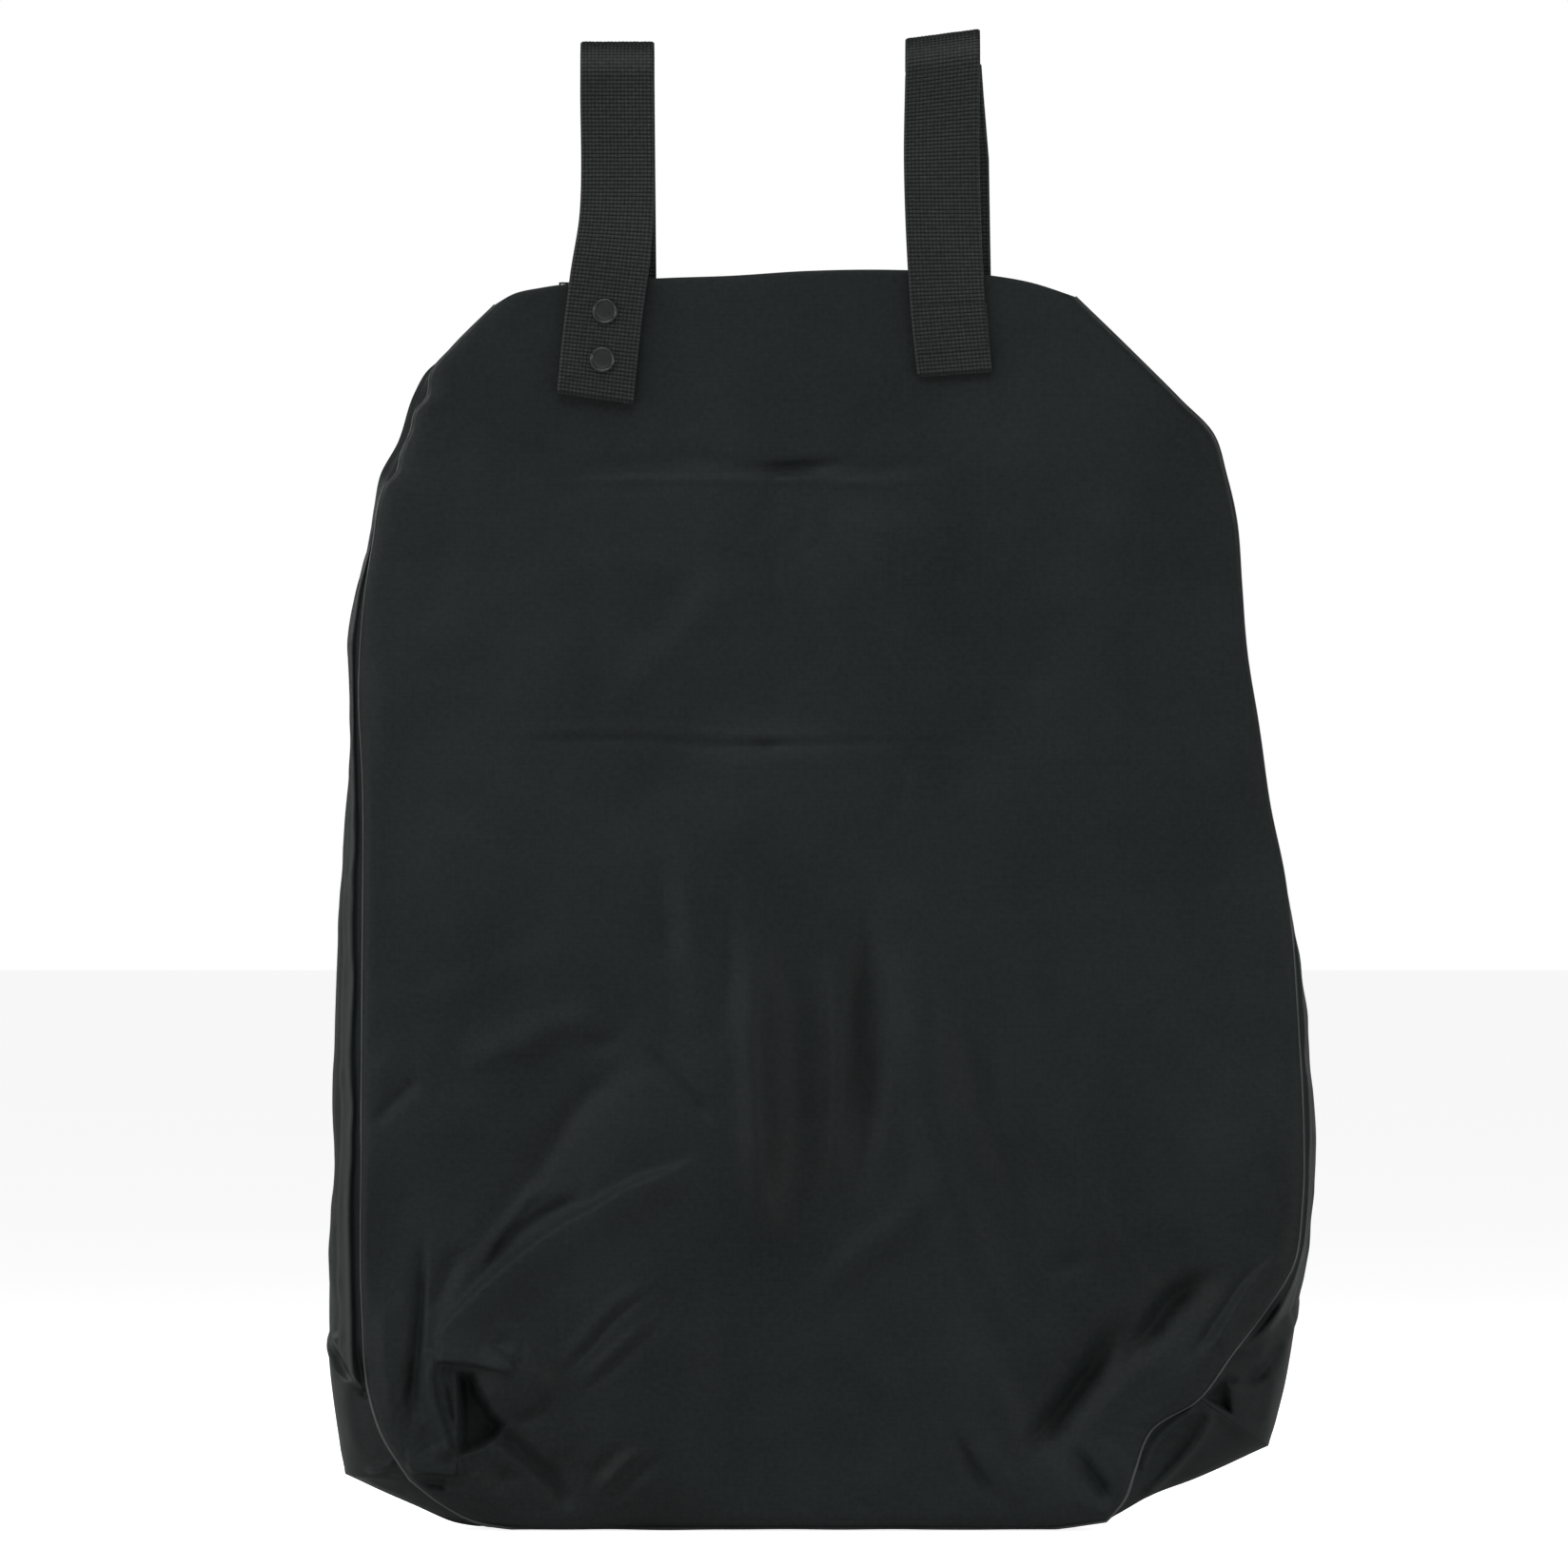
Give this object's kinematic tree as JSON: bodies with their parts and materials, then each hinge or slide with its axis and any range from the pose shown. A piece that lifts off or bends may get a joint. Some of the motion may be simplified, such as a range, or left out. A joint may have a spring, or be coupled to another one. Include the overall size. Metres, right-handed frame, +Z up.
{
  "type": "sandbag",
  "caption": "Flat boxed ballast bag in black nylon, with chamfered shoulders, a top zip and two webbing loops, one of them opened by press studs.",
  "frame": {"origin": "centre of the underside of the base", "axes": "+Z up from the base to the loops, -Y out of the front with the press studs, +X to a viewer's right"},
  "size_m": [0.496, 0.08, 0.754],
  "materials": {
    "shell_nylon": "matte",
    "gusset_nylon": "matte",
    "binding": "matte",
    "webbing": "matte",
    "thread": "satin",
    "snap_enamel": "satin",
    "snap_steel": "satin",
    "zip_tape": "matte",
    "zip_coil": "satin",
    "zip_metal": "satin",
    "liner_film": "satin",
    "tie": "satin",
    "sand": "matte"
  },
  "bodies": {
    "bag": {"front_panel": "shell_nylon", "back_panel": "shell_nylon", "left_gusset": "gusset_nylon", "right_gusset": "gusset_nylon", "bottom_gusset": "gusset_nylon", "front_seam_tape": "binding", "back_seam_tape": "binding", "strap_patches": "binding", "left_strap": "webbing", "right_strap": "webbing", "strap_stitching": "thread", "snap_studs": "snap_steel", "snap_posts": "snap_steel", "zip_tape_front": "zip_tape", "zip_tape_rear": "zip_tape", "zip_coil_front": "zip_coil", "zip_coil_rear": "zip_coil", "zip_stops": "zip_metal", "sand_liner_left": "liner_film", "sand_liner_right": "liner_film", "liner_ties": "tie", "sand_fill_left": "sand", "sand_fill_right": "sand"},
    "opening_tail": {"left_strap_tail": "webbing", "tail_stitching": "thread", "snap_caps": "snap_enamel", "snap_sockets": "snap_steel"},
    "slider": {"zip_slider": "zip_metal"},
    "pull": {"zip_pull": "zip_metal"}
  },
  "joints": [
    {"name": "left_strap_open", "type": "hinge", "parent": "bag", "child": "opening_tail", "pos_m": [-0.086, -0.00045, 0.73165], "axis": [-1, 0, 0], "range_deg": [0, 90]},
    {"name": "zip_slide", "type": "slide", "parent": "bag", "child": "slider", "axis": [1, 0, 0], "range_m": [0, 0.224]},
    {"name": "zip_pull_swing", "type": "hinge", "parent": "slider", "child": "pull", "pos_m": [-0.112, 0, 0.6271], "axis": [0, -1, 0], "range_deg": [0, 180]}
  ]
}
